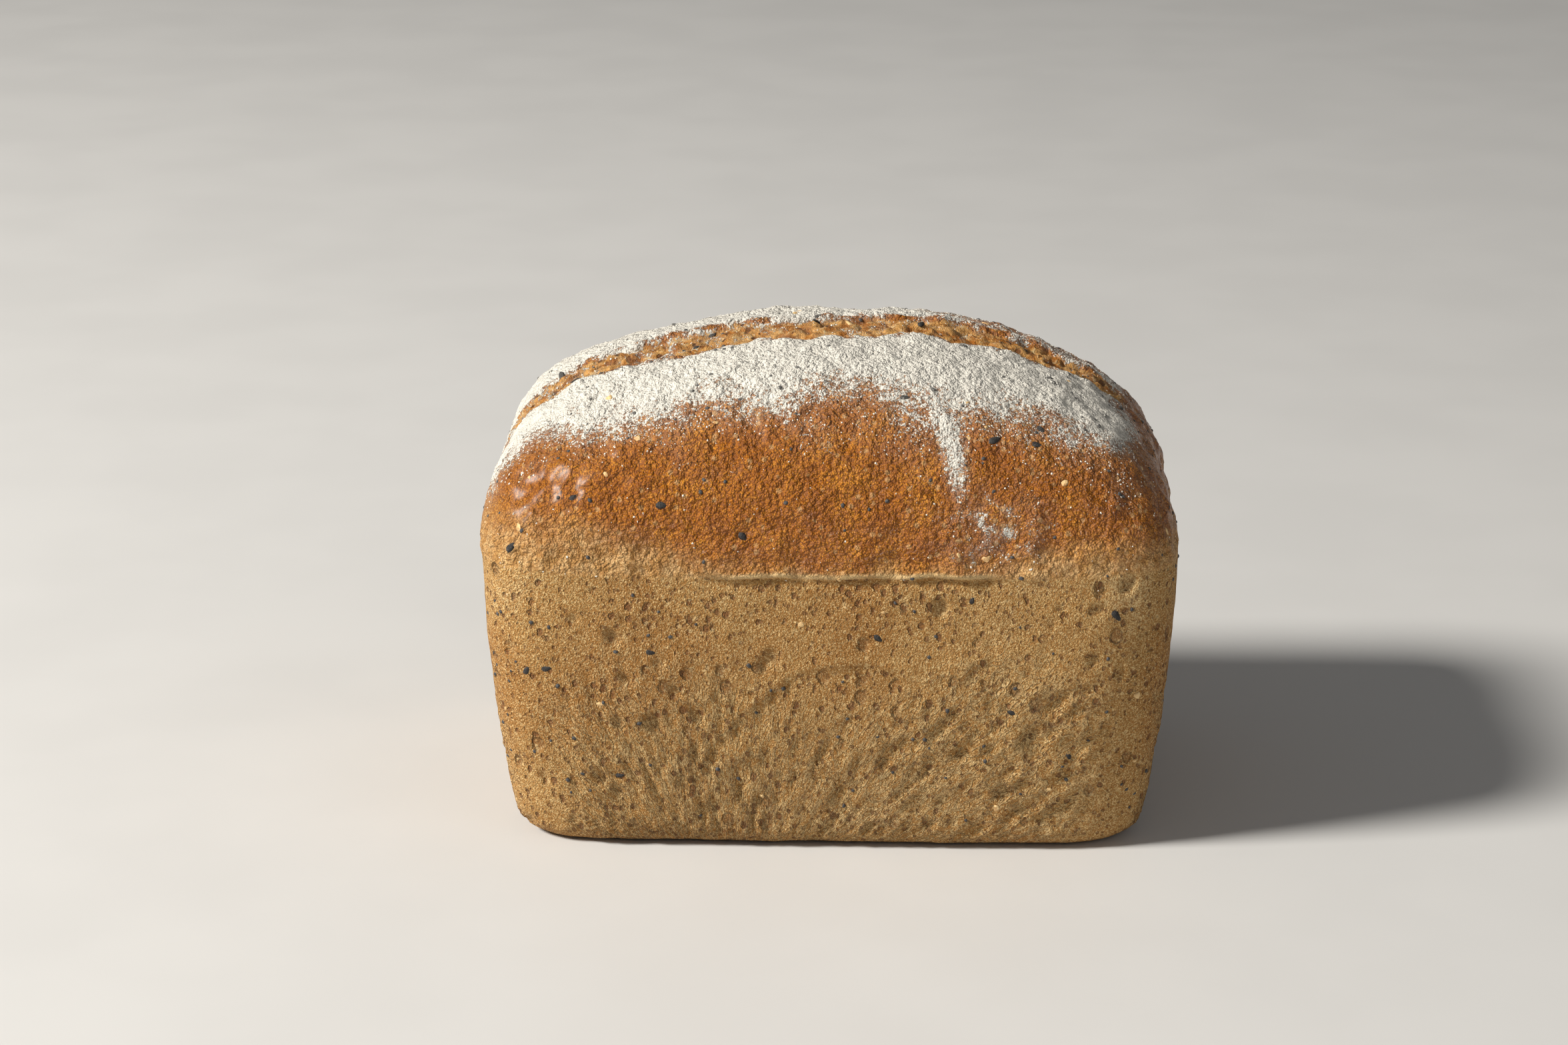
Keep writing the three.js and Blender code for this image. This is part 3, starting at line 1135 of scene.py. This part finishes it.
def sow_poppy(scene):
    """Poppy seeds: small, slate blue and kidney-shaped."""
    sizes, colours = scene.seed_sizes, scene.loaf_colours
    tree, mesh, rng = crust_tree(), bpy.data.objects["crust"].data, random.Random(23)
    pebbles = []
    for _ in range(sizes.poppy_strewn):
        place, out = strewn_seat(tree, rng)
        half = sizes.poppy / 2 * rng.uniform(0.65, 1.1)
        halves = [half * part for part in POPPY_SHAPE]
        matrix = lie_on(place, out, rng.uniform(0, math.tau), half * rng.uniform(0.1, 0.45))
        pebbles.append((matrix, halves, 0.15, 0.5 * cover_at(mesh, tree, place)))
    # the paler tone: partly mottling of the coat and partly a painted sheen
    light = tuple(c * 3 for c in colours.poppy)
    finish = seed_finish("Poppy seed", colours.poppy, light, colours.flour)
    pebble_piece("poppy_seeds", pebbles, finish, 0.25)


KERNEL_PLACE = (4.4, 8.5)  # of the one large piece of grain in the slash, in millimetres


def sow_flakes(scene):
    """Bran flakes: thin and pale, nearly flush with the crust, and one large piece of grain."""
    sizes, colours = scene.seed_sizes, scene.loaf_colours
    tree, rng = crust_tree(), random.Random(37)
    kernel = sizes.flake * 1.3
    place, out = chosen_seat(tree, "top", *KERNEL_PLACE)
    pebbles = [(lie_on(place, out, 0.1, 0.1 * MM), (kernel, kernel * 0.55, kernel * 0.2), 0.2, 0)]
    for _ in range(sizes.flakes_strewn):
        place, out = strewn_seat(tree, rng)
        half = sizes.flake / 2 * rng.uniform(0.4, 1.1)
        halves = (half, half * rng.uniform(0.5, 0.9), half * 0.22)
        matrix = lie_on(place, out, rng.uniform(0, math.tau), halves[2] * 0.5)
        pebbles.append((matrix, halves, rng.uniform(0, 0.35), 0))
    pebble_piece("bran_flakes", pebbles, bran_finish(colours), 0.55)


def dust_flour(scene):
    """Clots of flour, strewn where the flour lies on the crust."""
    sizes, colours = scene.flour_sizes, scene.loaf_colours
    tree, mesh, rng = crust_tree(), bpy.data.objects["crust"].data, random.Random(53)
    seats = []
    while len(seats) < sizes.grains:
        place, out = strewn_seat(tree, rng, 0.1)
        cover = cover_at(mesh, tree, place)
        if rng.random() < 0.12 * cover + math.exp(-(((cover - 0.42) / 0.24) ** 2)):
            seats.append((place, out))
    bm = bmesh.new()
    bmesh.ops.create_icosphere(bm, subdivisions=1, radius=1)
    clot = bm.verts.layers.int.new("clot")
    made = 1
    while made < len(seats):
        copied = bmesh.ops.duplicate(bm, geom=[*bm.verts, *bm.edges, *bm.faces])["geom"]
        for v in copied:
            if isinstance(v, bmesh.types.BMVert):
                v[clot] += made
        made *= 2
    bmesh.ops.delete(bm, geom=[v for v in bm.verts if v[clot] >= len(seats)], context="VERTS")
    half = sizes.grain / 2
    lies = [
        lie_on(place, out, rng.uniform(0, math.tau), 0.1 * half)
        @ Matrix.Diagonal([half * rng.uniform(0.25, 1) ** 1.5 * part for part in CLOT_SHAPE] + [1])
        for place, out in seats
    ]
    for v in bm.verts:
        v.co = lies[v[clot]] @ v.co
    mesh = bpy.data.meshes.new("flour_clots")
    bm.to_mesh(mesh)
    bm.free()
    finish_piece("flour_clots", mesh, flour_finish(colours))


# The stage


KEY_PLACE = Vector((-1.98, -0.76, 1.66))
KEY_WIDTH = 0.6
KEY_TINT = (1, 0.97, 0.92)
FILL_PLACE = Vector((1.0, -0.9, 0.7))
FILL_WIDTH = 1.1
WHITE = (1, 1, 1)


def add_light(name, width, power, place, tint):
    """A round soft light that faces the middle of the loaf."""
    light = bpy.data.lights.new(name, "AREA")
    light.shape = "DISK"
    light.size = width
    light.energy = power
    light.color = tint
    lamp = bpy.data.objects.new(name, light)
    lamp.location = place
    lamp.rotation_euler = (MIDDLE - place).to_track_quat("-Z", "Y").to_euler()
    bpy.context.scene.collection.objects.link(lamp)


def lay_floor(scene):
    """A wide pale floor under the loaf."""
    bm = bmesh.new()
    half = scene.stage_sizes.floor_width / 2
    bmesh.ops.create_grid(bm, x_segments=2, y_segments=2, size=half)
    mesh = bpy.data.meshes.new("floor")
    bm.to_mesh(mesh)
    bm.free()
    mesh.materials.append(floor_finish(scene.loaf_colours))
    floor = bpy.data.objects.new("floor", mesh)
    scene.collection.objects.link(floor)


def light_stage(scene):
    """A key light from the left, a weak fill from the right, and even light all round."""
    sizes = scene.stage_sizes
    add_light("key", KEY_WIDTH, sizes.key_power, KEY_PLACE, KEY_TINT)
    add_light("fill", FILL_WIDTH, sizes.fill_power, FILL_PLACE, WHITE)
    scene.view_settings.view_transform = "Standard"
    world = bpy.data.worlds.new("Even light")
    world.use_nodes = True
    sky = world.node_tree.nodes["Background"]
    sky.inputs["Color"].default_value = opaque(WHITE)
    sky.inputs["Strength"].default_value = sizes.sky_power
    scene.world = world


def set_camera(scene):
    """The camera, which looks down at the front."""
    sizes = scene.stage_sizes
    camera = bpy.data.objects.new("camera", bpy.data.cameras.new("camera"))
    camera.data.lens = sizes.lens
    turn, tilt = sizes.azimuth, sizes.elevation
    back = Vector((math.sin(turn) * math.cos(tilt), -math.cos(turn) * math.cos(tilt),
                   math.sin(tilt)))
    aim = Vector((MIDDLE.x - sizes.aim_left, MIDDLE.y, LOAF_LOW.z + sizes.aim_up))
    camera.location = aim + back * sizes.distance
    camera.rotation_euler = (-back).to_track_quat("-Z", "Y").to_euler()
    scene.collection.objects.link(camera)
    scene.camera = camera


# The add-on


class LOAF_OT_crust(bpy.types.Operator):
    """Models the crust over the frame's solid, with its pits, its tin line and its slash"""

    bl_idname = "loaf.crust"
    bl_label = "Bake the crust"

    def execute(self, context):
        bake_crust(context.scene)
        return {"FINISHED"}


class LOAF_OT_sesame(bpy.types.Operator):
    """Seats the black sesame seeds in the crust"""

    bl_idname = "loaf.sesame"
    bl_label = "Sow sesame seeds"

    def execute(self, context):
        sow_sesame(context.scene)
        return {"FINISHED"}


class LOAF_OT_poppy(bpy.types.Operator):
    """Seats the poppy seeds in the crust"""

    bl_idname = "loaf.poppy"
    bl_label = "Sow poppy seeds"

    def execute(self, context):
        sow_poppy(context.scene)
        return {"FINISHED"}


class LOAF_OT_flakes(bpy.types.Operator):
    """Lays the bran flakes on the crust"""

    bl_idname = "loaf.flakes"
    bl_label = "Sow bran flakes"

    def execute(self, context):
        sow_flakes(context.scene)
        return {"FINISHED"}


class LOAF_OT_flour(bpy.types.Operator):
    """Strews clots of flour over the floured crust"""

    bl_idname = "loaf.flour"
    bl_label = "Dust with flour"

    def execute(self, context):
        dust_flour(context.scene)
        return {"FINISHED"}


class LOAF_OT_stage(bpy.types.Operator):
    """Sets out the pale floor, the lights and the camera"""

    bl_idname = "loaf.stage"
    bl_label = "Set the stage"

    def execute(self, context):
        lay_floor(context.scene)
        light_stage(context.scene)
        set_camera(context.scene)
        return {"FINISHED"}


STEPS = (LOAF_OT_crust, LOAF_OT_sesame, LOAF_OT_poppy, LOAF_OT_flakes, LOAF_OT_flour,
         LOAF_OT_stage)


class LOAF_PT_sidebar(bpy.types.Panel):
    """The loaf's steps in order, and its settings."""

    bl_idname = "LOAF_PT_sidebar"
    bl_label = "Seeded tin loaf"
    bl_space_type = "VIEW_3D"
    bl_region_type = "UI"
    bl_category = "Loaf"

    def draw(self, context):
        for step in STEPS:
            self.layout.operator(step.bl_idname)
        for name, group in SETTINGS.items():
            box = self.layout.box()
            box.label(text=name.replace("_", " ").capitalize())
            settings = getattr(context.scene, name)
            for key in group.__annotations__:
                box.prop(settings, key)


SETTINGS = {
    "crust_sizes": CrustSizes,
    "slash_sizes": SlashSizes,
    "flour_sizes": FlourSizes,
    "seed_sizes": SeedSizes,
    "loaf_colours": LoafColours,
    "stage_sizes": StageSizes,
}


def register():
    """Makes the settings, the steps and the panel known to Blender."""
    for group in (*SETTINGS.values(), *STEPS, LOAF_PT_sidebar):
        bpy.utils.register_class(group)
    for name, group in SETTINGS.items():
        setattr(bpy.types.Scene, name, PointerProperty(type=group))


def unregister():
    """Takes them out again."""
    for name in SETTINGS:
        delattr(bpy.types.Scene, name)
    for group in (LOAF_PT_sidebar, *reversed(STEPS), *SETTINGS.values()):
        bpy.utils.unregister_class(group)


def main():
    """Makes every piece and the stage."""
    register()
    bpy.ops.loaf.crust()
    bpy.ops.loaf.sesame()
    bpy.ops.loaf.poppy()
    bpy.ops.loaf.flakes()
    bpy.ops.loaf.flour()
    bpy.ops.loaf.stage()


if __name__ == "__main__":
    main()
